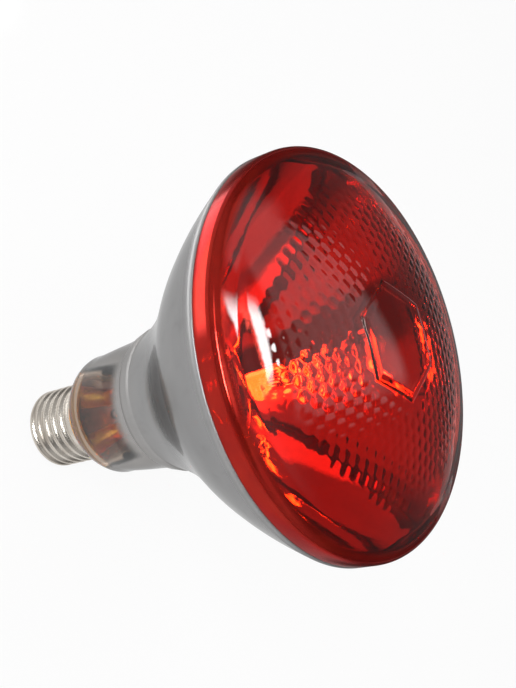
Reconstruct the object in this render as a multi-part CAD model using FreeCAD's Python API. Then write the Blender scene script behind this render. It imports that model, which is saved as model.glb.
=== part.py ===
"""Infrared heat lamp bulb: a pressed glass reflector lamp with a red front lens and a screw cap.

The lamp stands on its cap with the lens up. The origin is the tip of the centre contact and +Z is the
lamp's own axis. All sizes are millimetres.
"""
import math
import os

import FreeCAD
import Part
from FreeCAD import Vector

# Screw cap
CAP_HEIGHT = 27.0
THREAD_CREST_RADIUS = 13.15
THREAD_DEPTH = 1.05
THREAD_PITCH = 3.63
THREAD_TURNS = 4.6
THREAD_CREST_LAND = 0.75
THREAD_ROOT_LAND = 0.95
COLLAR_HEIGHT = 1.8
COLLAR_RADIUS = 13.35
SHELL_WALL = 0.4
SHELL_FOOT_RADIUS = 10.3
SHELL_FOOT_HEIGHT = 2.6
SHELL_LENGTH = 23.0

# Cap insulator, centre contact and solder
INSULATOR_DEPTH = 5.0
CONTACT_RADIUS = 5.4
CONTACT_THICKNESS = 0.7
CONTACT_SOLDER_RADIUS = 2.6
CONTACT_SOLDER_FLAT_RADIUS = 1.6
CONTACT_SOLDER_HEIGHT = 0.7
SIDE_SOLDER_RADIUS = 1.1
FEED_WIRE_RADIUS = 0.3
FEED_HOLE_CLEARANCE = 0.2

# Cement between the cap and the glass
CEMENT_SEAM = 0.9
CEMENT_DEPTH = 3.6
CEMENT_GAP = 0.8

# Glass reflector: heel, neck, waist and bowl
GLASS_WALL = 2.6
HEEL_FLAT_RADIUS = 13.3
SHOULDER_HEIGHT = 8.8
NECK_RADIUS = 19.9
NECK_LENGTH = 30.4
WAIST_RADIUS = 21.9
WAIST_FILLET = 5.0
NECK_BAND_WIDTH = 5.0
NECK_BAND_RISE = 0.45
NECK_BAND_BELOW_WAIST = 3.4
BOWL_DEPTH = 55.4
BOWL_BULGE = 1.9
RIM_RADIUS = 60.3
RIM_LAND = 1.5
SEAM_CHAMFER = 0.35

# Exhaust tube and current leads
EXHAUST_RADIUS = 2.0
EXHAUST_BORE_RADIUS = 1.1
EXHAUST_LENGTH = 14.0
EXHAUST_TIP = 3.0
FERRULE_RADIUS = 3.2
FERRULE_WALL = 0.4
FERRULE_OFFSET = 6.6
FERRULE_RISE = 8.0
FERRULE_CROWN_FILLET = 1.2
LEAD_RADIUS = 0.8
LEAD_STRAIGHT = 20.0
LEAD_BEND_RADIUS = 8.0
FEED_BEND_RADIUS = 2.4

# Filament
FILAMENT_LENGTH = 22.0
FILAMENT_RADIUS = 1.3
FILAMENT_HEIGHT_ABOVE_WAIST = 12.0
CLAMP_THICKNESS = 1.2
CLAMP_WIDTH = 2.8
CLAMP_HEIGHT = 4.4

# Front lens
LENS_WALL = 3.2
LENS_RISE = 22.6
LENS_SIDE_LAND = 2.7
LENS_EDGE_RADIUS = 6.0
STIPPLE_RADIUS = 47.5
STIPPLE_PITCH = 3.9
STIPPLE_BASE_RADIUS = 1.75
STIPPLE_RISE = 0.24
STIPPLE_SINK = 0.06
STIPPLE_ROOT = 0.5
PAD_ACROSS_FLATS = 30.6
PAD_BEVEL = 2.4
PAD_RISE = 1.2
PAD_STIPPLE_GAP = 0.3

# Heights along the axis, from the tip of the centre contact
SHELL_FOOT_Z = CAP_HEIGHT - SHELL_LENGTH
CONTACT_Z = CONTACT_SOLDER_HEIGHT
INSULATOR_Z = CONTACT_Z + CONTACT_THICKNESS
INSULATOR_TOP_Z = SHELL_FOOT_Z + SHELL_FOOT_HEIGHT + INSULATOR_DEPTH
HEEL_Z = CAP_HEIGHT + CEMENT_SEAM
BOSS_Z = CAP_HEIGHT - CEMENT_DEPTH
FLOOR_Z = HEEL_Z + GLASS_WALL
NECK_Z = HEEL_Z + SHOULDER_HEIGHT
WAIST_Z = NECK_Z + NECK_LENGTH
BOWL_TOP_Z = WAIST_Z + BOWL_DEPTH
RIM_Z = BOWL_TOP_Z + RIM_LAND
LENS_TOP_Z = RIM_Z + LENS_RISE
FERRULE_TOP_Z = FLOOR_Z + FERRULE_RISE
FILAMENT_Z = WAIST_Z + FILAMENT_HEIGHT_ABOVE_WAIST

# Radii that follow from the sizes above
SHELL_BORE_RADIUS = THREAD_CREST_RADIUS - THREAD_DEPTH - SHELL_WALL
BOSS_RADIUS = SHELL_BORE_RADIUS - CEMENT_GAP
FEED_HOLE_RADIUS = FEED_WIRE_RADIUS + FEED_HOLE_CLEARANCE
CLAMP_INNER_X = FILAMENT_LENGTH / 2
LEAD_TIP_X = CLAMP_INNER_X + CLAMP_THICKNESS / 2

AXIS = Vector(0, 0, 1)
ORIGIN = Vector(0, 0, 0)


def at(radius, height):
    """A point of a turned outline."""
    return Vector(radius, 0, height)


def line(start, end):
    return Part.LineSegment(start, end).toShape()


def arc(start, middle, end):
    return Part.Arc(start, middle, end).toShape()


def outline(*points):
    """Straight edges through the points in turn."""
    return [line(start, end) for start, end in zip(points, points[1:])]


def turned(edges):
    """The solid turned about the lamp's axis from a closed outline."""
    return Part.Face(Part.Wire(Part.__sortEdges__(edges))).revolve(ORIGIN, AXIS, 360)


def bulged(start, end, bulge):
    """An arc from start to end that stands out of its chord by the bulge, away from the axis."""
    chord = end - start
    outward = Vector(chord.z, 0, -chord.x).normalize()
    return arc(start, (start + end) * 0.5 + outward * bulge, end)


def inset_from(start, end, distance):
    """The start of a chord moved square to it, towards the axis."""
    chord = end - start
    return start + Vector(-chord.z, 0, chord.x).normalize() * distance


def shoulder(inset):
    """The heel's round shoulder: an arc from the underside up to the neck, inset from the outer face."""
    width = NECK_RADIUS - HEEL_FLAT_RADIUS
    radius = (SHOULDER_HEIGHT ** 2 + width ** 2) / (2 * width)
    centre = at(NECK_RADIUS - radius, NECK_Z)
    low_z = HEEL_Z + inset
    inner = radius - inset
    low_x = centre.x + math.sqrt(inner ** 2 - (NECK_Z - low_z) ** 2)
    turn = math.atan2(low_z - NECK_Z, low_x - centre.x) / 2
    middle = centre + Vector(inner * math.cos(turn), 0, inner * math.sin(turn))
    return at(low_x, low_z), middle, at(centre.x + inner, NECK_Z)


def bent_rod(points, radius, bend):
    """A round rod along straight runs joined by tangent arcs."""
    edges = []
    start = points[0]
    for before, corner, after in zip(points, points[1:], points[2:]):
        back = (before - corner).normalize()
        ahead = (after - corner).normalize()
        half = back.getAngle(ahead) / 2
        reach = bend / math.tan(half)
        middle = (back + ahead).normalize() * (bend / math.sin(half) - bend)
        edges.append(line(start, corner + back * reach))
        edges.append(arc(corner + back * reach, corner + middle, corner + ahead * reach))
        start = corner + ahead * reach
    edges.append(line(start, points[-1]))
    section = Part.Wire(Part.makeCircle(radius, points[0], points[1] - points[0]))
    return Part.Wire(edges).makePipeShell([section], True, False)


def mirrored(shape):
    """The same piece on the other side of the lamp's axis."""
    return shape.mirror(ORIGIN, Vector(1, 0, 0))


def reflector_bowl():
    """Pressed glass from the heel up to the sealing rim, with holes for the ferrules and exhaust tube."""
    outer_heel, outer_mid, outer_neck = shoulder(0)
    inner_heel, inner_mid, inner_neck = shoulder(GLASS_WALL)
    outer_waist = at(WAIST_RADIUS, WAIST_Z)
    outer_rim = at(RIM_RADIUS, BOWL_TOP_Z)
    inner_waist = inset_from(outer_waist, outer_rim, GLASS_WALL)
    inner_rim = at(RIM_RADIUS - LENS_WALL, RIM_Z)
    taper = (WAIST_RADIUS - NECK_RADIUS) / NECK_LENGTH
    band_top = WAIST_Z - NECK_BAND_BELOW_WAIST
    band_low = band_top - NECK_BAND_WIDTH

    def neck_at(height, rise=0.0):
        return at(NECK_RADIUS + taper * (height - NECK_Z) + rise, height)

    edges = outline(at(0, BOSS_Z), at(BOSS_RADIUS, BOSS_Z), at(BOSS_RADIUS, HEEL_Z), outer_heel)
    edges.append(arc(outer_heel, outer_mid, outer_neck))
    edges += outline(
        outer_neck,
        neck_at(band_low),
        neck_at(band_low + NECK_BAND_RISE, NECK_BAND_RISE),
        neck_at(band_top - NECK_BAND_RISE, NECK_BAND_RISE),
        neck_at(band_top),
        outer_waist,
    )
    edges.append(bulged(outer_waist, outer_rim, BOWL_BULGE))
    edges += outline(
        outer_rim,
        at(RIM_RADIUS, RIM_Z - SEAM_CHAMFER),
        at(RIM_RADIUS - SEAM_CHAMFER, RIM_Z),
        inner_rim,
    )
    edges.append(bulged(inner_waist, inner_rim, BOWL_BULGE))
    edges.append(line(inner_waist, inner_neck))
    edges.append(arc(inner_neck, inner_mid, inner_heel))
    edges += outline(inner_heel, at(0, FLOOR_Z), at(0, BOSS_Z))
    glass = turned(edges)
    waist_edges = [
        edge for edge in glass.Edges
        if edge.Curve.TypeId == "Part::GeomCircle"
        and abs(edge.Curve.Radius - WAIST_RADIUS) < 1e-6
        and abs(edge.Curve.Center.z - WAIST_Z) < 1e-6
    ]
    glass = glass.makeFillet(WAIST_FILLET, waist_edges)
    depth = FLOOR_Z - BOSS_Z
    holes = [Part.makeCylinder(EXHAUST_RADIUS, depth, at(0, BOSS_Z))]
    for side in (1, -1):
        holes.append(Part.makeCylinder(FERRULE_RADIUS, depth, at(side * FERRULE_OFFSET, BOSS_Z)))
    return glass.cut(holes)


def dome_radius():
    """Radius of the lens dome that meets the rounded edge with no kink."""
    edge_r = RIM_RADIUS - LENS_EDGE_RADIUS
    rise = LENS_RISE - LENS_SIDE_LAND - LENS_EDGE_RADIUS
    return LENS_EDGE_RADIUS + (edge_r ** 2 + rise ** 2) / (2 * rise)


def lens_face(inset):
    """Edges of one face of the lens, from the axis down to the seam, inset from the outer face."""
    dome = dome_radius() - inset
    edge = LENS_EDGE_RADIUS - inset
    centre_z = LENS_TOP_Z - dome_radius()
    corner = at(RIM_RADIUS - LENS_EDGE_RADIUS, RIM_Z + LENS_SIDE_LAND)
    lean = math.atan2(corner.x, corner.z - centre_z)
    meet = corner + at(edge * math.sin(lean), edge * math.cos(lean))
    half = (math.pi / 2 + lean) / 2
    round_mid = corner + at(edge * math.sin(half), edge * math.cos(half))
    dome_mid = at(dome * math.sin(lean / 2), centre_z + dome * math.cos(lean / 2))
    side = corner + at(edge, 0)
    return [
        arc(at(0, centre_z + dome), dome_mid, meet),
        arc(meet, round_mid, side),
    ], side


def hexagon(across_flats, height):
    """A closed hexagon square to the axis, with corners on the X axis."""
    corner = across_flats / math.sqrt(3)
    return Part.makePolygon([
        Vector(corner * math.cos(turn * math.pi / 3), corner * math.sin(turn * math.pi / 3), height)
        for turn in range(7)
    ])


def lens_pad():
    """The raised smooth hexagon at the middle of the lens, with sloping sides and a domed top."""
    dome = dome_radius()
    centre_z = LENS_TOP_Z - dome
    seat_z = centre_z + math.sqrt(dome ** 2 - (PAD_ACROSS_FLATS / 2) ** 2)
    spread = 2 * PAD_BEVEL
    sides = Part.makeLoft([
        hexagon(PAD_ACROSS_FLATS + spread, seat_z - PAD_RISE),
        hexagon(PAD_ACROSS_FLATS - 2 * spread, seat_z + 2 * PAD_RISE),
    ], True, True)
    return sides.common(Part.makeSphere(dome + PAD_RISE, at(0, centre_z)))


def pebble():
    """One raised bead of the stipple: a six-sided point on a short root, with its widest section sunk."""
    corners = [
        Vector(
            STIPPLE_BASE_RADIUS * math.cos(turn * math.pi / 3),
            STIPPLE_BASE_RADIUS * math.sin(turn * math.pi / 3),
            -STIPPLE_SINK,
        )
        for turn in range(6)
    ]
    peak = Vector(0, 0, STIPPLE_RISE)
    root = Vector(0, 0, -STIPPLE_ROOT)
    faces = []
    for first, second in zip(corners, corners[1:] + corners[:1]):
        for tip in (peak, root):
            faces.append(Part.Face(Part.makePolygon([first, second, tip, first])))
    return Part.Solid(Part.Shell(faces))


def stipple_places():
    """Lattice points between the hexagon pad and the smooth outer ring."""
    reach = int(STIPPLE_RADIUS / STIPPLE_PITCH) + 2
    row = STIPPLE_PITCH * math.sqrt(3) / 2
    clear = PAD_ACROSS_FLATS / 2 + STIPPLE_BASE_RADIUS + PAD_STIPPLE_GAP
    for across in range(-2 * reach, 2 * reach + 1):
        for along in range(-2 * reach, 2 * reach + 1):
            y = row * across
            x = STIPPLE_PITCH * (along + (across % 2) / 2)
            flats = [
                abs(x * math.cos(turn) + y * math.sin(turn))
                for turn in (math.pi / 6, math.pi / 2, 5 * math.pi / 6)
            ]
            if math.hypot(x, y) <= STIPPLE_RADIUS and max(flats) >= clear:
                yield x, y


def front_lens():
    """Red pressed glass lens: smooth edge and outer ring, stippled dome, smooth hexagon pad."""
    outer, outer_side = lens_face(0)
    inner, inner_side = lens_face(LENS_WALL)
    edges = outer + inner
    edges += outline(
        outer_side,
        at(RIM_RADIUS, RIM_Z + SEAM_CHAMFER),
        at(RIM_RADIUS - SEAM_CHAMFER, RIM_Z),
        at(inner_side.x, RIM_Z),
        inner_side,
    )
    edges.append(line(at(0, LENS_TOP_Z), at(0, LENS_TOP_Z - LENS_WALL)))
    dome = dome_radius()
    centre = at(0, LENS_TOP_Z - dome)
    bead = pebble()
    beads = []
    for x, y in stipple_places():
        normal = Vector(x, y, math.sqrt(dome ** 2 - x ** 2 - y ** 2)) / dome
        copy = bead.copy()
        copy.Placement = FreeCAD.Placement(centre + normal * dome, FreeCAD.Rotation(AXIS, normal))
        beads.append(copy)
    return turned(edges).fuse([lens_pad()] + beads)


def thread_groove():
    """The helical groove that is rolled between the crests of the screw shell."""
    height = THREAD_PITCH * THREAD_TURNS
    low = CAP_HEIGHT - COLLAR_HEIGHT - height
    half_mouth = (THREAD_PITCH - THREAD_CREST_LAND) / 2
    half_root = THREAD_ROOT_LAND / 2
    slope = (half_mouth - half_root) / THREAD_DEPTH
    past = THREAD_DEPTH / 2
    half_past = half_mouth + slope * past
    root = THREAD_CREST_RADIUS - THREAD_DEPTH
    section = Part.Wire(outline(
        at(root, low - half_root),
        at(THREAD_CREST_RADIUS + past, low - half_past),
        at(THREAD_CREST_RADIUS + past, low + half_past),
        at(root, low + half_root),
        at(root, low - half_root),
    ))
    path = Part.makeHelix(THREAD_PITCH, height - half_past, root)
    path.translate(at(0, low))
    return Part.Wire(path).makePipeShell([section], True, True)


def cap_shell():
    """Plated screw shell with a rolled thread, a plain proud collar and a foot drawn in on the insulator."""
    crest = THREAD_CREST_RADIUS
    bore = SHELL_BORE_RADIUS
    foot_top = SHELL_FOOT_Z + SHELL_FOOT_HEIGHT
    collar_z = CAP_HEIGHT - COLLAR_HEIGHT
    blank = turned(outline(
        at(bore, foot_top),
        at(SHELL_FOOT_RADIUS - SHELL_WALL, SHELL_FOOT_Z),
        at(SHELL_FOOT_RADIUS, SHELL_FOOT_Z),
        at(crest, foot_top),
        at(crest, collar_z),
        at(COLLAR_RADIUS, collar_z),
        at(COLLAR_RADIUS, CAP_HEIGHT),
        at(bore, CAP_HEIGHT),
        at(bore, foot_top),
    ))
    return blank.cut(thread_groove())


def cap_insulator():
    """Black glass plug between the shell and the centre contact."""
    foot_top = SHELL_FOOT_Z + SHELL_FOOT_HEIGHT
    return turned(outline(
        at(FEED_HOLE_RADIUS, INSULATOR_Z),
        at(CONTACT_RADIUS, INSULATOR_Z),
        at(SHELL_FOOT_RADIUS - SHELL_WALL, SHELL_FOOT_Z),
        at(SHELL_BORE_RADIUS, foot_top),
        at(SHELL_BORE_RADIUS, INSULATOR_TOP_Z),
        at(SHELL_BORE_RADIUS - SHELL_WALL, INSULATOR_TOP_Z),
        at(CONTACT_RADIUS, foot_top),
        at(FEED_HOLE_RADIUS, foot_top),
        at(FEED_HOLE_RADIUS, INSULATOR_Z),
    ))


def centre_contact():
    """Round contact plate with a hole for the feed wire."""
    plate = Part.makeCylinder(CONTACT_RADIUS, CONTACT_THICKNESS, at(0, CONTACT_Z))
    return plate.cut(Part.makeCylinder(FEED_HOLE_RADIUS, CONTACT_THICKNESS, at(0, CONTACT_Z)))


def contact_solder():
    """Solder button on the contact plate, flat at its tip."""
    return Part.makeCone(CONTACT_SOLDER_FLAT_RADIUS, CONTACT_SOLDER_RADIUS, CONTACT_SOLDER_HEIGHT)


def lead_ferrule():
    """Copper thimble sealed into the floor of the heel, open below and closed above."""
    radius = FERRULE_RADIUS
    bore = radius - FERRULE_WALL
    thimble = turned(outline(
        at(bore, BOSS_Z),
        at(radius, BOSS_Z),
        at(radius, FERRULE_TOP_Z),
        at(0, FERRULE_TOP_Z),
        at(0, FERRULE_TOP_Z - FERRULE_WALL),
        at(bore, FERRULE_TOP_Z - FERRULE_WALL),
        at(bore, BOSS_Z),
    ))
    crown = [
        edge for edge in thimble.Edges
        if edge.Curve.TypeId == "Part::GeomCircle"
        and abs(edge.Curve.Radius - radius) < 1e-6
        and abs(edge.Curve.Center.z - FERRULE_TOP_Z) < 1e-6
    ]
    thimble = thimble.makeFillet(FERRULE_CROWN_FILLET, crown)
    thimble.translate(at(FERRULE_OFFSET, 0))
    return thimble


def lead_wire():
    """Stiff lead from a ferrule up to the clamp that holds one end of the filament."""
    tip = at(LEAD_TIP_X, FILAMENT_Z - CLAMP_HEIGHT / 2)
    rod = bent_rod(
        [at(FERRULE_OFFSET, FERRULE_TOP_Z), at(FERRULE_OFFSET, FERRULE_TOP_Z + LEAD_STRAIGHT), tip],
        LEAD_RADIUS,
        LEAD_BEND_RADIUS,
    )
    corner = Vector(CLAMP_INNER_X, -CLAMP_WIDTH / 2, FILAMENT_Z - CLAMP_HEIGHT / 2)
    return rod.fuse(Part.makeBox(CLAMP_THICKNESS, CLAMP_WIDTH, CLAMP_HEIGHT, corner))


def filament():
    """Outer form of the wound filament, clamped between the two leads."""
    start = at(-CLAMP_INNER_X, FILAMENT_Z)
    return Part.makeCylinder(FILAMENT_RADIUS, FILAMENT_LENGTH, start, Vector(1, 0, 0))


def exhaust_tube():
    """Glass tube in the floor of the heel, drawn to a sealed tip inside the cap."""
    low = FLOOR_Z - EXHAUST_LENGTH
    return turned(outline(
        at(EXHAUST_BORE_RADIUS, FLOOR_Z),
        at(EXHAUST_RADIUS, FLOOR_Z),
        at(EXHAUST_RADIUS, low + EXHAUST_TIP),
        at(0, low),
        at(0, low + EXHAUST_TIP),
        at(EXHAUST_BORE_RADIUS, low + EXHAUST_TIP),
        at(EXHAUST_BORE_RADIUS, FLOOR_Z),
    ))


def centre_feed_wire():
    """Wire from the ferrule on +X down through the insulator to the contact solder."""
    turn_z = FLOOR_Z - EXHAUST_LENGTH
    return bent_rod(
        [
            at(FERRULE_OFFSET, FERRULE_TOP_Z - FERRULE_WALL),
            at(FERRULE_OFFSET, turn_z),
            at(0, INSULATOR_TOP_Z),
            at(0, CONTACT_SOLDER_HEIGHT),
        ],
        FEED_WIRE_RADIUS,
        FEED_BEND_RADIUS,
    )


def shell_feed_wire():
    """Wire from the ferrule on -X that turns up past the cement and out over the shell's rim."""
    turn_z = FLOOR_Z - EXHAUST_LENGTH
    climb_y = BOSS_RADIUS + CEMENT_GAP / 2
    seam_z = CAP_HEIGHT + CEMENT_SEAM / 2
    low = bent_rod(
        [
            at(-FERRULE_OFFSET, FERRULE_TOP_Z - FERRULE_WALL),
            at(-FERRULE_OFFSET, turn_z),
            Vector(0, climb_y, turn_z),
            Vector(0, climb_y, seam_z),
        ],
        FEED_WIRE_RADIUS,
        FEED_BEND_RADIUS,
    )
    elbow = Part.makeSphere(FEED_WIRE_RADIUS, Vector(0, climb_y, seam_z))
    reach = THREAD_CREST_RADIUS + FEED_WIRE_RADIUS - climb_y
    out = Part.makeCylinder(FEED_WIRE_RADIUS, reach, Vector(0, climb_y, seam_z), Vector(0, 1, 0))
    return low.fuse([elbow, out])


def side_solder(wire):
    """Solder bead in the seam that joins the feed wire to the rim of the shell."""
    bead = Part.makeSphere(SIDE_SOLDER_RADIUS, Vector(0, THREAD_CREST_RADIUS, CAP_HEIGHT + CEMENT_SEAM / 2))
    seam = Part.makeCylinder(2 * THREAD_CREST_RADIUS, CEMENT_SEAM, at(0, CAP_HEIGHT))
    return bead.common(seam).cut(wire)


def cap_cement(wire, solder):
    """Cement that fills the gap inside the collar and shows as a thin ring under the glass."""
    ring = turned(outline(
        at(BOSS_RADIUS, BOSS_Z),
        at(SHELL_BORE_RADIUS, BOSS_Z),
        at(SHELL_BORE_RADIUS, CAP_HEIGHT),
        at(THREAD_CREST_RADIUS, CAP_HEIGHT),
        at(THREAD_CREST_RADIUS, HEEL_Z),
        at(BOSS_RADIUS, HEEL_Z),
        at(BOSS_RADIUS, BOSS_Z),
    ))
    return ring.cut([wire, solder])


def build():
    """Every piece of the lamp by its node name."""
    ferrule = lead_ferrule()
    lead = lead_wire()
    shell_wire = shell_feed_wire()
    solder = side_solder(shell_wire)
    return {
        "reflector_bowl": reflector_bowl(),
        "front_lens": front_lens(),
        "exhaust_tube": exhaust_tube(),
        "lead_ferrule_right": ferrule,
        "lead_ferrule_left": mirrored(ferrule),
        "lead_wire_right": lead,
        "lead_wire_left": mirrored(lead),
        "filament": filament(),
        "cap_shell": cap_shell(),
        "cap_cement": cap_cement(shell_wire, solder),
        "cap_insulator": cap_insulator(),
        "centre_contact": centre_contact(),
        "contact_solder": contact_solder(),
        "centre_feed_wire": centre_feed_wire(),
        "shell_feed_wire": shell_wire,
        "side_solder": solder,
    }


os.makedirs("parts", exist_ok=True)
for name, shape in build().items():
    shape.exportStep("parts/" + name + ".step")
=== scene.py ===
"""Infrared heat lamp bulb, dressed: glass bowl, ruby lens, screw cap and the parts inside."""
import math

import bmesh
import bpy
from mathutils import Matrix, Vector, noise


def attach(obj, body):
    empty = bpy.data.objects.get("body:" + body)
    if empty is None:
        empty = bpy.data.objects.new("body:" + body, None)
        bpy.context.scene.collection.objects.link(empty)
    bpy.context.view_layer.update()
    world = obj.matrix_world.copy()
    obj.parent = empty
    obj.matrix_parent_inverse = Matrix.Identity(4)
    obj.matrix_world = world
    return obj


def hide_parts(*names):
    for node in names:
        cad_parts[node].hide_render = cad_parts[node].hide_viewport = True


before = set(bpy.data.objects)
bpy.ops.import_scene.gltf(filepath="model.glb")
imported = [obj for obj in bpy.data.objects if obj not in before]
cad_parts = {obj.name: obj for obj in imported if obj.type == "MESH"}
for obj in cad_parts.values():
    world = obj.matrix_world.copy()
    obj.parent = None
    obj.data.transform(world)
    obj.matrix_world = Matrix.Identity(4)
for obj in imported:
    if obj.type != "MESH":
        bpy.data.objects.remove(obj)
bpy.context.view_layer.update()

MM = 0.001
ROOT3 = math.sqrt(3)

# Screw cap, in millimetres up the axis from the tip of the centre contact
CAP_TOP = 27.0
CREST_RADIUS = 13.15
THREAD_DEPTH = 1.05
THREAD_PITCH = 3.63
THREAD_LOW = 8.5
COLLAR_RADIUS = 13.35
COLLAR_LOW = 25.2
SHELL_BORE = 11.7
SHELL_WALL = 0.4
FOOT_RADIUS = 10.3
FOOT_LOW = 4.0
FOOT_TOP = 6.6
CONTACT_RADIUS = 5.4
CONTACT_LOW = 0.7
CONTACT_TOP = 1.4
INSULATOR_TOP = 11.6

# Glass bowl
WALL = 2.6
BOSS_LOW = 23.4
BOSS_RADIUS = 10.9
HEEL_Z = 27.9
HEEL_RADIUS = 13.3
FLOOR_Z = 30.5
NECK_Z = 36.7
NECK_RADIUS = 19.9
WAIST_Z = 67.1
WAIST_RADIUS = 21.9
# Radius of the glass outside at heights from the heel's shoulder to the rim
BOWL_OUTLINE = (
    (19.7, 38.0), (20.05, 41.0), (20.4, 44.5), (20.72, 48.0), (21.05, 52.0), (21.58, 56.0),
    (22.4, 60.0), (23.5, 64.0), (24.95, 68.0), (26.8, 72.0), (28.95, 76.0), (31.45, 80.0),
    (34.25, 84.0), (37.35, 88.0), (40.65, 92.0), (44.0, 96.0), (47.05, 100.0), (49.8, 104.0),
    (52.4, 108.0), (54.8, 112.0), (57.0, 116.0), (58.75, 119.4), (60.3, 122.5),
)
BAND_LOW = 58.7
BAND_TOP = 63.7
BAND_RISE = 0.45
BOWL_TOP = 122.5
BOWL_BULGE = 1.9
RIM_RADIUS = 60.3
RIM_Z = 124.0
SEAM_CHAMFER = 0.35

# Front lens
LENS_WALL = 3.2
LENS_TOP = 146.6
DOME_RADIUS = 119.0
EDGE_RADIUS = 6.0
EDGE_Z = 126.7
PEBBLE_PITCH = 3.9
PEBBLE_REACH = 45.4
PEBBLE_RISE = 0.14
PEBBLE_SPREAD = 0.54
CALM_START = 37.0
CALM_WIDTH = 8.0
CALM_DEPTH = 0.8
PAD_FLAT = 15.3
PAD_BEVEL = 2.4
PAD_RISE = 0.42
PAD_STEP = 0.26
PAD_STEP_SHARE = 0.25
PAD_MARGIN = 2.05
PAD_CLEAR = 18.0
FIELD_LIMIT = 48.6
RING_RADIUS = 50.0
BRIM_RADIUS = 58.3
# Downward slope of the smooth ring at radii from the pebbles to the brim
RING_SLOPES = (
    (50.0, 0.463), (51.4, 0.479), (52.0, 0.53), (53.5, 0.55), (54.0, 0.445), (56.8, 0.469), (58.3, 0.482),
)
# Directions square to the hexagon's sides
HEX_NORMALS = (math.pi / 6, math.pi / 2, 5 * math.pi / 6)

# Filament
FILAMENT_Z = 79.1
FILAMENT_HALF = 11.0
FILAMENT_RADIUS = 1.3
FILAMENT_TURNS = 24
FILAMENT_WIRE = 0.24

# Studio panels
PANEL_STEPS = 4
PANEL_ROWS = 8
WHITE = (1, 1, 1, 1)
WARM_HUE = (0.5, 1.0, 0.14, 1)


class Signal:
    """One output of a finish's nodes. Arithmetic on it adds Math nodes."""

    def __init__(self, recipe, socket):
        self.recipe = recipe
        self.socket = socket

    def __add__(self, other):
        return self.recipe.maths("ADD", self, other)

    __radd__ = __add__

    def __mul__(self, other):
        return self.recipe.maths("MULTIPLY", self, other)

    __rmul__ = __mul__

    def __sub__(self, other):
        return self.recipe.maths("SUBTRACT", self, other)

    def __rsub__(self, other):
        return self.recipe.maths("SUBTRACT", other, self)

    def clipped(self):
        """Held between 0 and 1."""
        return self.recipe.maths("MINIMUM", self.recipe.maths("MAXIMUM", self, 0.0), 1.0)

    def eased(self, low, high):
        """0 at low, 1 at high, smooth between."""
        return self.recipe.node(
            "ShaderNodeMapRange",
            {"interpolation_type": "SMOOTHSTEP"},
            {"Value": self, "From Min": low, "From Max": high},
        )


class Recipe:
    """The nodes of one finish, or of the studio's surround."""

    def __init__(self, owner):
        owner.use_nodes = True
        self.tree = owner.node_tree
        self.tree.nodes.clear()

    def node(self, kind, settings=None, sockets=None, output=0):
        """Any node: its settings are set first, then its sockets get their values or links."""
        made = self.tree.nodes.new(kind)
        for key, value in (settings or {}).items():
            setattr(made, key, value)
        for key, value in (sockets or {}).items():
            if isinstance(value, Signal):
                self.tree.links.new(value.socket, made.inputs[key])
            else:
                made.inputs[key].default_value = value
        return Signal(self, made.outputs[output]) if made.outputs else None

    def maths(self, operation, *values):
        return self.node("ShaderNodeMath", {"operation": operation}, dict(enumerate(values)))

    def blend(self, factor, first, second):
        """Colours mixed by a factor. Sockets 6 and 7 are the colour inputs of the Mix node."""
        return self.node("ShaderNodeMix", {"data_type": "RGBA"}, {0: factor, 6: first, 7: second}, 2)

    def between(self, factor, first, second):
        """Two shaders mixed by a factor."""
        return self.node("ShaderNodeMixShader", None, {0: factor, 1: first, 2: second})

    def place(self):
        """The point on the piece, in metres, in the lamp's frame."""
        return self.node("ShaderNodeTexCoord", None, None, "Object")

    def part(self, vector, axis):
        return self.node("ShaderNodeSeparateXYZ", None, {0: vector}, "XYZ".index(axis))

    def stretched(self, vector, scale):
        return self.node("ShaderNodeVectorMath", {"operation": "MULTIPLY"}, {0: vector, 1: scale})

    def length(self, vector):
        return self.node("ShaderNodeVectorMath", {"operation": "LENGTH"}, {0: vector}, "Value")

    def grain(self, vector, scale, detail=3.0):
        """Cloudy noise from 0 to 1, scale in features per metre."""
        return self.node(
            "ShaderNodeTexNoise",
            None,
            {"Vector": vector, "Scale": scale, "Detail": detail, "Roughness": 0.55},
        )

    def bumped(self, height, depth, strength):
        return self.node("ShaderNodeBump", None, {"Height": height, "Distance": depth, "Strength": strength})

    def surface(self, **sockets):
        """The Principled shader, with socket names written with underscores."""
        named = {key.replace("_", " "): value for key, value in sockets.items()}
        return self.node("ShaderNodeBsdfPrincipled", None, named)

    def output(self, shader, kind="ShaderNodeOutputMaterial"):
        self.node(kind, None, {"Surface": shader})


def finish(name):
    """A new material and the recipe that fills it."""
    material = bpy.data.materials.new(name)
    return material, Recipe(material)


def ruby_glass():
    """Pressed ruby glass with faint flow streaks and a fire-polished skin, deeper where the rim backs it."""
    material, mix = finish("ruby_glass")
    place = mix.place()
    flow = mix.grain(mix.stretched(place, (1.0, 1.0, 2.2)), 70.0, 3.0)
    haze = mix.grain(place, 420.0, 2.0)
    colour = mix.blend(flow.eased(0.35, 0.7), (0.87, 0.080, 0.054, 1), (0.92, 0.093, 0.062, 1))
    wave = mix.bumped(mix.grain(place, 160.0, 2.0), 0.00004, 0.5)
    clear = mix.surface(
        Base_Color=colour, Roughness=haze * 0.02 + 0.005, IOR=1.5, Transmission_Weight=1.0, Normal=wave,
    )
    deep = mix.blend(flow.eased(0.35, 0.7), (0.31, 0.013, 0.009, 1), (0.38, 0.019, 0.011, 1))
    backed = mix.surface(
        Base_Color=deep, Metallic=0.75, Roughness=haze * 0.08 + 0.10, Specular_Tint=(0.5, 0.07, 0.05, 1),
        Normal=wave,
    )
    rim = mix.length(mix.stretched(place, (1, 1, 0))).eased(0.0560, 0.0586)
    mix.output(mix.between(rim * 0.9, clear, backed))
    return material


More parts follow.
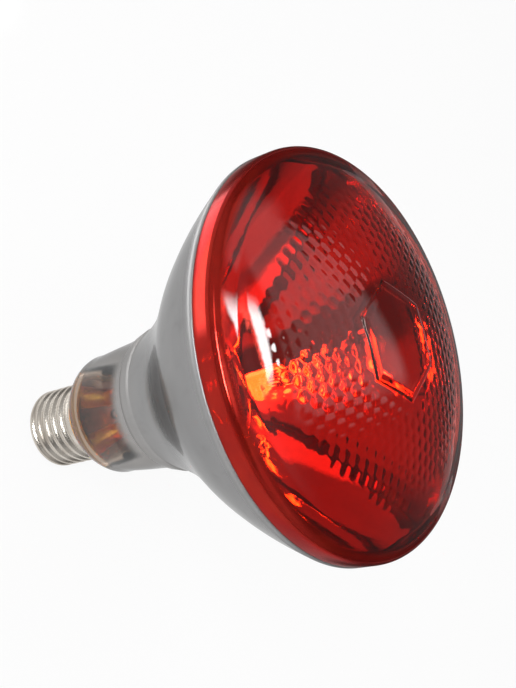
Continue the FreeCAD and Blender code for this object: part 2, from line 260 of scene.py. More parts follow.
def clear_glass():
    """Clear pressed glass with faint waves."""
    material, mix = finish("clear_glass")
    place = mix.place()
    tint = mix.blend(mix.grain(place, 90.0).eased(0.3, 0.7), (0.96, 0.96, 0.95, 1), (0.99, 0.985, 0.975, 1))
    wave = mix.bumped(mix.grain(place, 120.0, 2.0), 0.00005, 0.5)
    mix.output(mix.surface(
        Base_Color=tint, Roughness=mix.grain(place, 400.0) * 0.02, IOR=1.5, Transmission_Weight=1.0,
        Normal=wave,
    ))
    return material


def coat_edge(mix, place, cloud):
    """0 on bare glass, 1 where the mirror coat begins. It leaves a window on two sides of the heel."""
    across = mix.part(place, "Y")
    window = (across * across).eased(0.000045, 0.00026)
    level = mix.part(place, "Z") + (cloud - 0.5) * 0.005 - window * 0.0255
    return level.eased(0.0268, 0.0325)


def silvered_glass():
    """The bowl from outside: glass over the mirror coat's back, which thins out to clear at the heel."""
    material, mix = finish("silvered_glass")
    place = mix.place()
    height = mix.part(place, "Z")
    cloud = mix.grain(place, 60.0, 4.0)
    patch = mix.grain(place, 22.0, 3.0)
    streak = mix.grain(mix.stretched(place, (1.0, 1.0, 0.12)), 240.0, 3.0)
    colour = mix.blend(patch.eased(0.35, 0.65), (0.34, 0.337, 0.338, 1), (0.42, 0.415, 0.413, 1))
    colour = mix.blend(streak.eased(0.5, 0.8) * 0.35, colour, (0.26, 0.256, 0.252, 1))
    stain = (height * -1 + (patch - 0.5) * 0.02).eased(-0.074, -0.056)
    colour = mix.blend(stain * 0.4, colour, (0.40, 0.37, 0.34, 1))
    wave = mix.bumped(mix.grain(place, 90.0, 2.0), 0.00008, 0.6)
    lip = height.eased(0.1200, 0.1220)
    waist = 1 - ((height - 0.069) * (height - 0.069)).eased(0.0, 0.00016)
    coat = mix.surface(
        Base_Color=colour, Metallic=1.0, Roughness=cloud * 0.12 + lip * 0.3 + waist * 0.2 + 0.17,
        Specular_Tint=(0.4, 0.4, 0.4, 1), Coat_Weight=0.35 - lip * 0.33, Coat_Roughness=0.03, Coat_IOR=1.5,
        Normal=wave,
    )
    tint = mix.blend(height.eased(0.0290, 0.0320), (0.54, 0.24, 0.05, 1), (0.36, 0.27, 0.21, 1))
    glass = mix.surface(Base_Color=tint, Roughness=0.01, IOR=1.5, Transmission_Weight=1.0, Normal=wave)
    mix.output(mix.between(coat_edge(mix, place, cloud), glass, coat))
    return material


def mirror_coat():
    """The bright mirror coat inside the bowl, which ends above the heel."""
    material, mix = finish("mirror_coat")
    place = mix.place()
    cloud = mix.grain(place, 80.0, 3.0)
    colour = mix.blend(cloud.eased(0.3, 0.7), (0.86, 0.86, 0.86, 1), (0.91, 0.91, 0.905, 1))
    wave = mix.bumped(mix.grain(place, 130.0, 2.0), 0.00008, 0.6)
    mirror = mix.surface(Base_Color=colour, Metallic=1.0, Roughness=cloud * 0.03 + 0.015, Normal=wave)
    glass = mix.surface(
        Base_Color=(0.97, 0.96, 0.94, 1), Roughness=0.01, IOR=1.5, Transmission_Weight=1.0, Normal=wave,
    )
    mix.output(mix.between(coat_edge(mix, place, cloud), glass, mirror))
    return material


def metal(name, light, dark, rough, spread, scale, coarse=(1.0, 1.0, 1.0), depth=0.00002, bare=1.0):
    """A worn metal: two tones, a roughness that wanders and fine scratches."""
    material, mix = finish(name)
    place = mix.place()
    cloud = mix.grain(place, scale, 4.0)
    scratch = mix.grain(mix.stretched(place, coarse), scale * 9.0, 2.0)
    colour = mix.blend(cloud.eased(0.3, 0.75), light + (1,), dark + (1,))
    colour = mix.blend(scratch.eased(0.6, 0.85) * 0.35, colour, dark + (1,))
    dull = (cloud * spread + rough + (scratch - 0.5) * 0.06).clipped()
    worn = mix.bumped(scratch, depth, 0.4)
    mix.output(mix.surface(Base_Color=colour, Metallic=bare, Roughness=dull, Normal=worn))
    return material


def amber_cement():
    """Amber capping cement: a soft gloss, with darker pockets."""
    material, mix = finish("amber_cement")
    place = mix.place()
    cloud = mix.grain(place, 320.0, 4.0)
    colour = mix.blend(cloud.eased(0.3, 0.75), (0.98, 0.45, 0.03, 1), (0.70, 0.25, 0.01, 1))
    mix.output(mix.surface(
        Base_Color=colour, Roughness=cloud * 0.2 + 0.2, Coat_Weight=0.2, Coat_Roughness=0.1,
        Normal=mix.bumped(cloud, 0.00012, 0.5),
    ))
    return material


def black_glass():
    """The cap's black glass plug, glossy with a faint pressed ripple."""
    material, mix = finish("black_glass")
    place = mix.place()
    cloud = mix.grain(place, 300.0, 3.0)
    colour = mix.blend(cloud.eased(0.3, 0.7), (0.012, 0.012, 0.014, 1), (0.03, 0.028, 0.03, 1))
    mix.output(mix.surface(
        Base_Color=colour, Roughness=cloud * 0.12 + 0.06, Coat_Weight=0.5, Coat_Roughness=0.05,
        Normal=mix.bumped(cloud, 0.00006, 0.4),
    ))
    return material


def floor_paint():
    """Pale studio floor: white to the eye and in reflections, with the lamp's own shadow."""
    material, mix = finish("floor_paint")
    cloud = mix.grain(mix.place(), 6.0, 3.0)
    camera = mix.node("ShaderNodeLightPath", None, None, "Is Camera Ray")
    glossy = mix.node("ShaderNodeLightPath", None, None, "Is Glossy Ray")
    through = mix.node("ShaderNodeLightPath", None, None, "Is Transmission Ray")
    seen = (camera + glossy + through).clipped()
    paint = mix.surface(
        Base_Color=mix.blend(cloud, (0.80, 0.80, 0.80, 1), (0.83, 0.83, 0.83, 1)), Roughness=0.7,
    )
    glow = mix.node("ShaderNodeEmission", None, {"Color": WHITE, "Strength": 1.0})
    sheet = 1 - mix.length(mix.place()).eased(0.55, 1.5)
    mix.output(mix.between(seen * sheet * 0.93, paint, glow))
    return material


def piece_from(name, points, faces, finishes, marks, sharp):
    """A piece in the lamp's frame from points in millimetres. Any marks give each face its finish."""
    mesh = bpy.data.meshes.new(name)
    mesh.from_pydata([(x * MM, y * MM, z * MM) for x, y, z in points], [], faces)
    for each in finishes:
        mesh.materials.append(each)
    if marks:
        mesh.polygons.foreach_set("material_index", marks)
    mesh.shade_smooth()
    mesh.set_sharp_from_angle(angle=math.radians(sharp))
    mesh.update()
    piece = bpy.data.objects.new(name, mesh)
    bpy.context.scene.collection.objects.link(piece)
    return piece


def swing(centre, radius, start, end, count):
    """Points of an arc in the turning plane, angles in degrees from the radius axis."""
    points = []
    for step in range(count + 1):
        turn = math.radians(start + (end - start) * step / count)
        points.append((centre[0] + radius * math.cos(turn), centre[1] + radius * math.sin(turn)))
    return points


def bulged(start, end, bulge, count):
    """Points of a shallow arc from start to end that stands out from its chord."""
    chord = Vector(end) - Vector(start)
    half = chord.length / 2
    radius = (half ** 2 + bulge ** 2) / (2 * bulge)
    outward = Vector((chord.y, -chord.x)).normalized()
    centre = (Vector(start) + Vector(end)) / 2 + outward * (bulge - radius)
    first = math.degrees(math.atan2(start[1] - centre.y, start[0] - centre.x))
    last = math.degrees(math.atan2(end[1] - centre.y, end[0] - centre.x))
    return swing(centre, radius, first, last, count)


def softened(points, radius):
    """The corners of an open outline rounded off."""
    count = 4
    out = [points[0]]
    for before, corner, after in zip(points, points[1:], points[2:]):
        corner = Vector(corner)
        back = Vector(before) - corner
        ahead = Vector(after) - corner
        reach = min(radius, back.length * 0.45, ahead.length * 0.45)
        first = corner + back.normalized() * reach
        last = corner + ahead.normalized() * reach
        for step in range(count + 1):
            t = step / count
            out.append(tuple(first * (1 - t) ** 2 + corner * 2 * t * (1 - t) + last * t ** 2))
    out.append(points[-1])
    return out


def turned(name, profile, finishes, steps, sharp):
    """A closed piece turned about the axis from (radius, height, finish number) stations."""
    points = []
    rings = []
    for radius, height, _ in profile:
        if radius < 1e-6:
            rings.append([len(points)] * steps)
            points.append((0.0, 0.0, height))
            continue
        rings.append(list(range(len(points), len(points) + steps)))
        for step in range(steps):
            turn = 2 * math.pi * step / steps
            points.append((radius * math.cos(turn), radius * math.sin(turn), height))
    faces = []
    marks = []
    pairs = list(zip(range(len(rings)), range(1, len(rings))))
    if profile[0][0] > 1e-6:
        pairs.append((len(rings) - 1, 0))
    for low, high in pairs:
        for step in range(steps):
            after = (step + 1) % steps
            loop = [rings[low][step], rings[low][after], rings[high][after], rings[high][step]]
            clean = [spot for index, spot in enumerate(loop) if spot != loop[index - 1]]
            if len(clean) > 2:
                faces.append(clean)
                marks.append(profile[low][2])
    return piece_from(name, points, faces, finishes, marks, sharp)


def marked(points, number):
    return [(radius, height, number) for radius, height in points]


def heel_arc(inset, count):
    """The round shoulder from the heel's underside up to the neck."""
    width = NECK_RADIUS - HEEL_RADIUS
    rise = NECK_Z - HEEL_Z
    radius = (rise ** 2 + width ** 2) / (2 * width)
    centre = (NECK_RADIUS - radius, NECK_Z)
    start = math.degrees(math.asin((HEEL_Z + inset - NECK_Z) / (radius - inset)))
    return swing(centre, radius - inset, start, 0, count)


def smooth_value(p, q, r, s, t):
    """A value on the smooth run from q to r, with p before them and s after."""
    bend = (2 * p - 5 * q + 4 * r - s) * t * t + (3 * q - p - 3 * r + s) * t ** 3
    return 0.5 * (2 * q + (r - p) * t + bend)


def smoothed(points, count):
    """A smooth run through the points, with count steps from each to the next."""
    out = []
    padded = [points[0]] + list(points) + [points[-1]]
    for a, b, c, d in zip(padded, padded[1:], padded[2:], padded[3:]):
        for step in range(count):
            out.append(tuple(smooth_value(*values, step / count) for values in zip(a, b, c, d)))
    return out + [tuple(points[-1])]


def band_rise(height):
    """Rise of the pressed band round the neck, with soft flanks."""
    up = min(max((height - BAND_LOW) / 0.7, 0.0), 1.0)
    down = min(max((BAND_TOP - height) / 0.7, 0.0), 1.0)
    return BAND_RISE * up * up * (3 - 2 * up) * down * down * (3 - 2 * down)


def make_bowl(outside, inside, seat):
    """The pressed glass bowl, neck and heel with their wall, one closed piece. Its boss sits in cement."""
    chord = Vector((RIM_RADIUS - WAIST_RADIUS, BOWL_TOP - WAIST_Z))
    boss = [(0.0, BOSS_LOW)]
    held = [(BOSS_RADIUS, BOSS_LOW), (BOSS_RADIUS, HEEL_Z)]
    outer = softened([(HEEL_RADIUS - 0.5, HEEL_Z)] + heel_arc(0.0, 14)[:-2], 0.4)
    outer += [(radius + band_rise(height), height) for radius, height in smoothed(BOWL_OUTLINE, 8)]
    outer += [(RIM_RADIUS, RIM_Z - SEAM_CHAMFER), (RIM_RADIUS - SEAM_CHAMFER, RIM_Z)]
    inset = Vector((-chord.y, chord.x)).normalized() * WALL
    inner = bulged(
        (WAIST_RADIUS + inset.x, WAIST_Z + inset.y), (RIM_RADIUS - LENS_WALL, RIM_Z), BOWL_BULGE, 36
    )[::-1]
    inner += [(NECK_RADIUS - WALL, NECK_Z + 0.2)] + heel_arc(WALL, 10)[::-1] + [(0.0, FLOOR_Z)]
    return turned(
        "reflector_bowl_glass", marked(boss, 0) + marked(held, 2) + marked(outer, 0) + marked(inner, 1),
        [outside, inside, seat], 192, 50.0,
    )


def pebble_height(x, y):
    """Rise of the nearest pebble at a point of the lens. The pebbles get calmer towards their border."""
    row_step = PEBBLE_PITCH * ROOT3 / 2
    best = 9.0
    calm = 1.0
    near = round(y / row_step)
    for row in (near - 1, near, near + 1):
        offset = (row % 2) / 2
        column = round(x / PEBBLE_PITCH - offset)
        cx = PEBBLE_PITCH * (column + offset)
        cy = row_step * row
        flat = max(abs(cx * math.cos(turn) + cy * math.sin(turn)) for turn in HEX_NORMALS)
        if math.hypot(cx, cy) > PEBBLE_REACH or flat < PAD_FLAT + PAD_MARGIN:
            continue
        away = math.hypot(x - cx, y - cy)
        if away < best:
            best = away
            calm = 1 - CALM_DEPTH * min(max((math.hypot(cx, cy) - CALM_START) / CALM_WIDTH, 0.0), 1.0)
    reach = PEBBLE_PITCH * PEBBLE_SPREAD
    if best >= reach:
        return 0.0
    return PEBBLE_RISE * calm * math.cos(math.pi / 2 * best / reach) ** 1.2


def dome_point(x, y, inset=0.0, lift=0.0):
    """A point over (x, y) on the lens dome, inset from its outer face and lifted square to it."""
    radius = DOME_RADIUS - inset
    centre = LENS_TOP - DOME_RADIUS
    rise = math.sqrt(radius ** 2 - x * x - y * y)
    scale = 1 + lift / radius
    return x * scale, y * scale, centre + rise * scale


def lattice(count, spacing, reach, limit):
    """The (x, y) points of a six-sided lattice in rings, drawn out to a circle at its limit."""
    rings = [[(0.0, 0.0)]]
    for ring in range(1, count + 1):
        points = []
        for side in range(6):
            first = Vector((math.cos(side * math.pi / 3), math.sin(side * math.pi / 3)))
            second = Vector((math.cos((side + 1) * math.pi / 3), math.sin((side + 1) * math.pi / 3)))
            for step in range(ring):
                spot = (first * (ring - step) + second * step) * spacing
                full = spot.length * count / ring
                size = spot.length
                if size > reach:
                    size = reach + (size - reach) * (limit - reach) / (full - reach)
                points.append(tuple(spot.normalized() * size))
        rings.append(points)
    return rings


def lattice_faces(rings):
    """Triangles between the rings of a lattice."""
    starts = [0]
    for ring in rings[:-1]:
        starts.append(starts[-1] + len(ring))
    faces = []
    for ring in range(1, len(rings)):
        outer = len(rings[ring])
        inner = max(len(rings[ring - 1]), 1)
        for side in range(6):
            for step in range(ring):
                a = starts[ring] + side * ring + step
                b = starts[ring] + (side * ring + step + 1) % outer
                c = starts[ring - 1] + (side * (ring - 1) + step) % inner
                faces.append((a, b, c))
                if step < ring - 1:
                    d = starts[ring - 1] + (side * (ring - 1) + step + 1) % inner
                    faces.append((b, d, c))
    return faces


def snapped(value, knots):
    """value carried by straight pieces between (from, to) knots, unchanged past the last."""
    for (low, low_to), (high, high_to) in zip(knots, knots[1:]):
        if value <= high:
            return low_to + (value - low) * (high_to - low_to) / (high - low)
    return value


def lens_lift(x, y, flat):
    """Height of the lens face over its dome: the hexagon pad with its step, or the pebbles round it."""
    if flat <= PAD_FLAT:
        share = min(1.0, (PAD_FLAT - flat) / PAD_BEVEL)
        return PAD_RISE * share + PAD_STEP * min(1.0, share / PAD_STEP_SHARE)
    return pebble_height(x, y)


def ring_outline():
    """The lens's smooth outside from the pebbles down to the seam: shallow step, brim and round edge."""
    height = LENS_TOP - DOME_RADIUS + math.sqrt(DOME_RADIUS ** 2 - RING_RADIUS ** 2)
    outline = []
    for (low, low_slope), (high, high_slope) in zip(RING_SLOPES, RING_SLOPES[1:]):
        count = max(2, round((high - low) / 0.42))
        for part in range(count):
            first = low_slope + (high_slope - low_slope) * part / count
            last = low_slope + (high_slope - low_slope) * (part + 1) / count
            height -= (first + last) / 2 * (high - low) / count
            outline.append((low + (high - low) * (part + 1) / count, height))
    lean = math.atan(RING_SLOPES[-1][1])
    round_off = (RIM_RADIUS - BRIM_RADIUS) / (1 - math.sin(lean))
    middle = (RIM_RADIUS - round_off, height - round_off * math.cos(lean))
    outline += swing(middle, round_off, 90 - math.degrees(lean), 0, 8)[1:]
    outline += [(RIM_RADIUS, RIM_Z + SEAM_CHAMFER + 0.12), (RIM_RADIUS - 0.1, RIM_Z + 0.12)]
    return outline + [(RIM_RADIUS - SEAM_CHAMFER, RIM_Z + 0.02), (RIM_RADIUS - LENS_WALL, RIM_Z + 0.02)]


def make_lens(glass):
    """The ruby lens, one closed piece: pebbled dome, hexagon pad, smooth ring, round edge and seam."""
    spacing = PEBBLE_PITCH / 10
    edge_in = RIM_RADIUS - EDGE_RADIUS
    centre_z = LENS_TOP - DOME_RADIUS
    lean = math.atan2(edge_in, EDGE_Z - centre_z)
    count = int(FIELD_LIMIT / (spacing * ROOT3 / 2))
    rings = lattice(count, spacing, PEBBLE_REACH + 2.0, RING_RADIUS)
    step = spacing * ROOT3 / 2
    top = PAD_FLAT - PAD_BEVEL
    knots = [(0.0, 0.0), (round(top / step) * step, top), (round(PAD_FLAT / step) * step, PAD_FLAT)]
    knots.append((PAD_CLEAR, PAD_CLEAR))
    points = []
    for number, ring in enumerate(rings):
        flat = number * step
        moved = snapped(flat, knots)
        for x, y in ring:
            if number and flat < PAD_CLEAR:
                x, y = x * moved / flat, y * moved / flat
            points.append(dome_point(x, y, 0.0, lens_lift(x, y, moved)))
    faces = lattice_faces(rings)
    around = len(rings[-1])
    turns = [math.atan2(y, x) for x, y in rings[-1]]
    side = ring_outline()
    inner_edge = EDGE_RADIUS - LENS_WALL
    side += [
        (edge_in + inner_edge * math.sin(angle), EDGE_Z + inner_edge * math.cos(angle))
        for angle in (math.pi / 2 + (lean - math.pi / 2) * part / 5 for part in range(6))
    ]
    start = len(points) - around
    for radius, height in side:
        below = len(points)
        points += [(radius * math.cos(turn), radius * math.sin(turn), height) for turn in turns]
        for step in range(around):
            after = (step + 1) % around
            faces.append((start + step, below + step, below + after, start + after))
        start = below
    coarse = around // 6
    for level in range(1, 14):
        radius = (edge_in + inner_edge * math.sin(lean)) * (1 - level / 14)
        below = len(points)
        points += [
            dome_point(radius * math.cos(turn), radius * math.sin(turn), LENS_WALL) for turn in turns[::6]
        ]
        if level == 1:
            for step in range(coarse):
                after = (step + 1) % coarse
                for part in range(6):
                    a = start + step * 6 + part
                    b = start + (step * 6 + part + 1) % around
                    faces.append((a, below + (step if part < 3 else after), b))
                faces.append((start + step * 6 + 3, below + step, below + after))
        else:
            for step in range(coarse):
                after = (step + 1) % coarse
                faces.append((start + step, below + step, below + after, start + after))
        start = below
    points.append((0.0, 0.0, LENS_TOP - LENS_WALL))
    for step in range(coarse):
        faces.append((start + step, len(points) - 1, start + (step + 1) % coarse))
    lens = piece_from("front_lens_ruby", points, faces, [glass], None, 60.0)
    work = bmesh.new()
    work.from_mesh(lens.data)
    bmesh.ops.recalc_face_normals(work, faces=work.faces)
    work.to_mesh(lens.data)
    work.free()
    return lens


def make_shell(plate):
    """The screw shell: rolled thread, plain collar and drawn-in foot, with its inside wall."""
    around = 144
    levels = []
    height = FOOT_LOW
    while height < CAP_TOP - 1e-6:
        levels.append(height)
        height += 0.16
    levels.append(CAP_TOP)

    def radius_at(height, turn):
        if height < FOOT_TOP:
            share = (height - FOOT_LOW) / (FOOT_TOP - FOOT_LOW)
            return FOOT_RADIUS + (CREST_RADIUS - FOOT_RADIUS) * math.sin(share * math.pi / 2) ** 0.9
        if height > COLLAR_LOW + 0.2:
            top = max(0.0, height - (CAP_TOP - 0.35)) / 0.35
            return COLLAR_RADIUS - 0.22 * top ** 2
        phase = (height - THREAD_LOW) / THREAD_PITCH - turn / (2 * math.pi)
        low = min(max((height - FOOT_TOP) / 1.6, 0.0), 1.0)
        high = min(max((COLLAR_LOW + 0.1 - height) / 1.5, 0.0), 1.0)
        fade = (low * low * (3 - 2 * low)) * (high * high * (3 - 2 * high))
        groove = 0.5 + 0.5 * math.cos(2 * math.pi * phase)
        return CREST_RADIUS - THREAD_DEPTH * fade * groove

    points = []
    faces = []
    for height in levels:
        for step in range(around):
            turn = 2 * math.pi * step / around
            radius = radius_at(height, turn)
            points.append((radius * math.cos(turn), radius * math.sin(turn), height))
    inside = [
        (COLLAR_RADIUS - 0.5, CAP_TOP), (SHELL_BORE, CAP_TOP - 0.1), (SHELL_BORE, FOOT_TOP),
        (FOOT_RADIUS - SHELL_WALL, FOOT_LOW + 0.1), (FOOT_RADIUS - 0.15, FOOT_LOW),
    ]
    for radius, height in inside:
        for step in range(around):
            turn = 2 * math.pi * step / around
            points.append((radius * math.cos(turn), radius * math.sin(turn), height))
    total = len(levels) + len(inside)
    for level in range(total):
        other = (level + 1) % total
        for step in range(around):
            after = (step + 1) % around
            faces.append((
                level * around + step, level * around + after,
                other * around + after, other * around + step,
            ))
    return piece_from("cap_shell_rolled", points, faces, [plate], None, 60.0)


def make_cement(amber):
    """The cement ring: a slightly swollen bead in the seam and the collar's filling below it."""
    bead = swing((COLLAR_RADIUS - 0.1, CAP_TOP + 0.1), 0.95, -80, 65, 12)
    profile = [(BOSS_RADIUS, BOSS_LOW), (SHELL_BORE, BOSS_LOW), (SHELL_BORE, CAP_TOP + 0.02)] + bead
    profile += [(BOSS_RADIUS, HEEL_Z)]
    return turned("cap_cement_ring", marked(profile, 0), [amber], 128, 40.0)


def make_plug(black):
    """The black glass plug, round at its shoulder."""
    outside = softened([
        (CONTACT_RADIUS - 0.4, CONTACT_TOP), (CONTACT_RADIUS, CONTACT_TOP),
        (FOOT_RADIUS - SHELL_WALL, FOOT_LOW), (SHELL_BORE, FOOT_TOP),
    ], 0.5)
    profile = [(0.0, CONTACT_TOP)] + outside + [
        (SHELL_BORE, INSULATOR_TOP), (SHELL_BORE - SHELL_WALL, INSULATOR_TOP), (CONTACT_RADIUS, FOOT_TOP),
        (0.0, FOOT_TOP),
    ]
    return turned("cap_plug_glass", marked(profile, 0), [black], 128, 50.0)


def make_contact(brass):
    """The contact plate with a rolled rim."""
    edge = swing((CONTACT_RADIUS - 0.35, (CONTACT_LOW + CONTACT_TOP) / 2), 0.35, -90, 90, 8)
    profile = [(0.0, CONTACT_LOW + 0.1), (2.6, CONTACT_LOW + 0.1), (3.4, CONTACT_LOW)] + edge
    profile.append((0.0, CONTACT_TOP))
    return turned("contact_plate_round", marked(profile, 0), [brass], 96, 50.0)


def make_button(solder):
    """The solder button: flat tip, run-out flank, not quite even."""
    profile = softened([
        (0.0, 0.0), (1.6, 0.0), (2.3, 0.25), (2.6, CONTACT_LOW), (0.0, CONTACT_LOW),
    ], 0.3)
    button = turned("contact_solder_button", marked(profile, 0), [solder], 64, 60.0)
    for vertex in button.data.vertices:
        wave = noise.noise(Vector(vertex.co) * 700.0) * 0.04
        vertex.co.x *= 1 - abs(wave)
        vertex.co.y *= 1 - abs(wave)
    return button


def make_filament(tungsten):
    """The wound coil between the clamps."""
    curve = bpy.data.curves.new("filament_coil", "CURVE")
    curve.dimensions = "3D"
    curve.bevel_depth = FILAMENT_WIRE * MM
    curve.bevel_resolution = 2
    spline = curve.splines.new("POLY")
    steps = FILAMENT_TURNS * 18
    spline.points.add(steps)
    reach = FILAMENT_RADIUS - FILAMENT_WIRE - 0.02
    for index, point in enumerate(spline.points):
        share = index / steps
        turn = 2 * math.pi * FILAMENT_TURNS * share
        x = -FILAMENT_HALF + 0.3 + (2 * FILAMENT_HALF - 0.6) * share
        point.co = (x * MM, reach * math.cos(turn) * MM, (FILAMENT_Z + reach * math.sin(turn)) * MM, 1)
    curve.materials.append(tungsten)
    coil = bpy.data.objects.new("filament_coil", curve)
    bpy.context.scene.collection.objects.link(coil)
    return coil


def settle(piece, node):
    """A piece that stands for a node of the model."""
    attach(piece, "root")
    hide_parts(node)


def repaint(names, material):
    """A node that keeps its own form and takes a finish."""
    for name in names:
        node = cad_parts[name]
        node.data.materials.clear()
        node.data.materials.append(material)


ruby = ruby_glass()
clear = clear_glass()
silvered = silvered_glass()
mirror = mirror_coat()
nickel = metal(
    "nickel_plate", (0.66, 0.615, 0.555), (0.45, 0.40, 0.345), 0.20, 0.16, 140.0, (1.0, 1.0, 0.2), 0.000006,
)
copper = metal("copper", (0.95, 0.38, 0.10), (0.70, 0.23, 0.05), 0.28, 0.2, 260.0, bare=0.35)
lead_metal = metal("lead_metal", (0.62, 0.60, 0.57), (0.45, 0.43, 0.41), 0.25, 0.15, 300.0)
tungsten = metal("tungsten", (0.38, 0.37, 0.37), (0.24, 0.23, 0.23), 0.3, 0.15, 900.0)
brass = metal("contact_brass", (0.74, 0.60, 0.33), (0.52, 0.40, 0.2), 0.22, 0.2, 240.0)
solder = metal("solder", (0.66, 0.66, 0.66), (0.45, 0.45, 0.46), 0.28, 0.2, 420.0, depth=0.00005)
amber = amber_cement()
black = black_glass()

settle(make_bowl(silvered, mirror, amber), "reflector_bowl")
settle(make_lens(ruby), "front_lens")
settle(make_shell(nickel), "cap_shell")
settle(make_cement(amber), "cap_cement")
settle(make_plug(black), "cap_insulator")
settle(make_contact(brass), "centre_contact")
settle(make_button(solder), "contact_solder")
settle(make_filament(tungsten), "filament")
repaint(["exhaust_tube"], clear)
repaint(["lead_ferrule_left", "lead_ferrule_right", "centre_feed_wire", "shell_feed_wire"], copper)
repaint(["lead_wire_left", "lead_wire_right"], lead_metal)
repaint(["side_solder"], solder)


def softbox(name, lows, highs, glow, fade=0.2, ends=None, warm=False, dark=False):
    """A panel between two edges, soft at its border and not seen by the camera.

    A warm one shows only through glass, and a dark one only in reflections.
    """
    points = []
    places = []
    count = (len(lows) - 1) * PANEL_STEPS
    for step in range(count + 1):
        index = min(step // PANEL_STEPS, len(lows) - 2)
        share = step / PANEL_STEPS - index
        low = lows[index].lerp(lows[index + 1], share)
        high = highs[index].lerp(highs[index + 1], share)
        for row in range(PANEL_ROWS + 1):
            points.append(low.lerp(high, row / PANEL_ROWS))
            places.append((step / count, row / PANEL_ROWS))
    faces = []
    for step in range(count):
        for row in range(PANEL_ROWS):
            spot = step * (PANEL_ROWS + 1) + row
            faces.append((spot, spot + 1, spot + PANEL_ROWS + 2, spot + PANEL_ROWS + 1))
    mesh = bpy.data.meshes.new(name)
    mesh.from_pydata(points, [], faces)
    layer = mesh.uv_layers.new(name="panel")
    for loop in mesh.loops:
        layer.data[loop.index].uv = places[loop.vertex_index]
    material, mix = finish(name)
    spread = mix.node("ShaderNodeTexCoord", None, None, "UV")
    along = mix.part(spread, "X")
    over = mix.part(spread, "Y")
    ends = ends or fade
    soft = along.eased(0.0, ends) * (1 - along).eased(0.0, ends)
    soft = soft * over.eased(0.0, fade) * (1 - over).eased(0.0, fade)
    lit = mix.node("ShaderNodeEmission", None, {"Color": WARM_HUE if warm else WHITE, "Strength": glow})
    mix.output(mix.between(soft, mix.node("ShaderNodeBsdfTransparent"), lit))
    mesh.materials.append(material)
    panel = bpy.data.objects.new(name, mesh)
    panel.visible_camera = False
    panel.visible_glossy = not warm
    panel.visible_transmission = not dark
    panel.visible_diffuse = not (warm or dark)
    panel.visible_shadow = not (warm or dark)
    bpy.context.scene.collection.objects.link(panel)


def aimed(directions, distance):
    """Points that far from the middle of the lens in the given directions."""
    return [Vector((0.0, -0.02, 0.138)) + Vector(each).normalized() * distance for each in directions]


def bearing(angles, distance):
    """Points by (turn, rise) in degrees, the turn taken from the camera's side towards +X."""
    return aimed([
        (
            math.sin(math.radians(turn)) * math.cos(math.radians(rise)),
            -math.cos(math.radians(turn)) * math.cos(math.radians(rise)),
            math.sin(math.radians(rise)),
        )
        for turn, rise in angles
    ], distance)


def on_floor(radius, first, step, count):
    """Points of an arc just above the floor, its angles in degrees."""
    turns = [math.radians(first + step * each) for each in range(count)]
    return [Vector((radius * math.cos(turn), radius * math.sin(turn), 0.002)) for turn in turns]


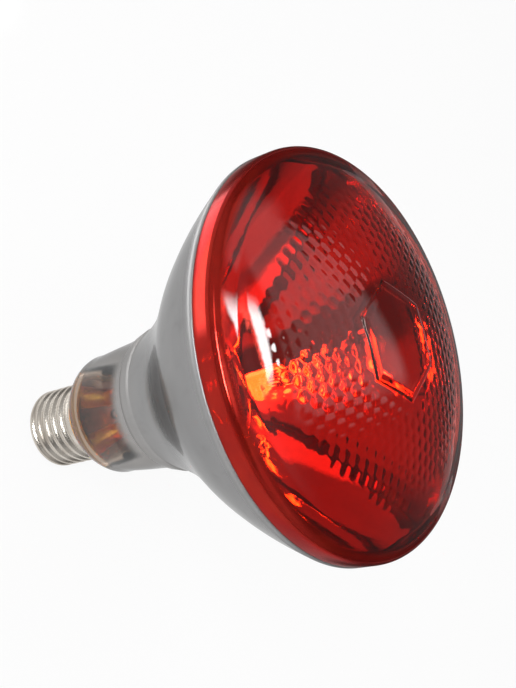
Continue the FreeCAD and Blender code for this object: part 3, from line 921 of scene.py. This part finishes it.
def studio():
    """Pale floor, dim surround and the panels."""
    mesh = bpy.data.meshes.new("studio_floor")
    shape = bmesh.new()
    bmesh.ops.create_grid(shape, x_segments=8, y_segments=8, size=14.0)
    shape.to_mesh(mesh)
    shape.free()
    mesh.materials.append(floor_paint())
    ground = bpy.data.objects.new("studio_floor", mesh)
    ground.location.z = -0.0002
    bpy.context.scene.collection.objects.link(ground)

    surround = bpy.data.worlds.new("studio_surround")
    bpy.context.scene.world = surround
    mix = Recipe(surround)
    aim = mix.node("ShaderNodeTexCoord", None, None, "Generated")
    back = mix.part(aim, "Y").eased(-0.15, 0.35)
    toward = mix.node(
        "ShaderNodeVectorMath", {"operation": "DOT_PRODUCT"}, {0: aim, 1: (0.368, -0.754, 0.545)}, "Value",
    )
    colour = mix.blend(back, (0.52, 0.52, 0.52, 1), (0.11, 0.11, 0.11, 1))
    colour = mix.blend(toward.eased(0.87, 0.975), colour, (0.13, 0.13, 0.13, 1))
    shine = mix.node("ShaderNodeBackground", None, {"Color": colour, "Strength": 1.0})
    mix.output(shine, "ShaderNodeOutputWorld")

    # White panels
    lows = aimed([(-0.42, 0.06, 0.91), (0.08, 0.03, 1.0)], 1.1)
    highs = aimed([(-0.36, 0.15, 0.92), (0.08, 0.075, 1.0)], 1.1)
    softbox("key_strip", lows, highs, 24.0, 0.3)
    lows = aimed([(-0.62, 0.47, 0.63), (0.17, 0.88, 0.47)], 1.0)
    highs = aimed([(-0.55, 0.16, 0.80), (0.28, 0.12, 0.96)], 1.0)
    softbox("veil_box", lows, highs, 0.95, 0.12)
    lows = bearing([(-30, 45), (25, 45)], 1.0)
    highs = bearing([(-40, 78), (40, 78)], 1.0)
    softbox("top_window", lows, highs, 1.8)
    lows = bearing([(40, 24), (86, 18)], 1.0)
    highs = bearing([(36, 62), (84, 60)], 1.0)
    softbox("right_window", lows, highs, 0.75, 0.25)
    lows = bearing([(-54, 32.5), (-16, 33.5)], 1.0)
    highs = bearing([(-52, 39.5), (-16, 42)], 1.0)
    softbox("side_window", lows, highs, 5.0, 0.3)

    # The bare lamp, its warm twin for the glass and the warm tube
    lows = [(-38, 35.2), (10, 36.6)]
    highs = [(-36, 39.2), (10, 41.8)]
    softbox("bare_lamp", bearing(lows, 1.0), bearing(highs, 1.0), 85.0, 0.3, 0.2)
    softbox("warm_lamp", bearing(lows, 0.98), bearing(highs, 0.98), 190.0, 0.3, 0.2, warm=True)
    arc = [(25, 83), (-4, 79.5), (-30, 69), (-52, 56), (-64, 48), (-70, 43)]
    lows = bearing([(turn - 3.2, rise - 1.8) for turn, rise in arc], 1.0)
    highs = bearing([(turn + 3.2, rise + 1.8) for turn, rise in arc], 1.0)
    softbox("warm_tube", lows, highs, 150.0, 0.3, 0.12, warm=True)

    # Cards beside, below and behind the lamp
    lows = bearing([(-134, 30), (-98, 30)], 1.0)
    highs = bearing([(-134, 62), (-98, 62)], 1.0)
    softbox("rim_card", lows, highs, 0.8, 0.3)
    softbox("low_card", on_floor(0.145, -196, 12, 8), on_floor(0.27, -196, 12, 8), 4.8, 0.2, 0.1)
    softbox("dark_card", on_floor(0.15, 15, 20, 9), on_floor(1.1, 15, 20, 9), 0.14, 0.06, 0.12, dark=True)


studio()

# Camera at the photograph's viewing angle
lens_camera = bpy.data.cameras.new("view")
lens_camera.lens = 63.679
lens_camera.sensor_width = 36.0
lens_camera.shift_y = 0.12
lens_camera.clip_start = 0.01
viewer = bpy.data.objects.new("view", lens_camera)
bpy.context.scene.collection.objects.link(viewer)
stand = Vector((0.000298, -0.290691, 0.318363))
side = Vector((0.249337, 0.589482, 0.768337)).normalized()
ahead = Vector((0.038621, 0.786711, -0.616112)).normalized()
head = side.cross(ahead).normalized()
side = ahead.cross(head).normalized()
viewer.matrix_world = Matrix((
    (side.x, head.x, -ahead.x, stand.x),
    (side.y, head.y, -ahead.y, stand.y),
    (side.z, head.z, -ahead.z, stand.z),
    (0.0, 0.0, 0.0, 1.0),
))
bpy.context.scene.camera = viewer
bpy.context.scene.view_settings.view_transform = "Standard"
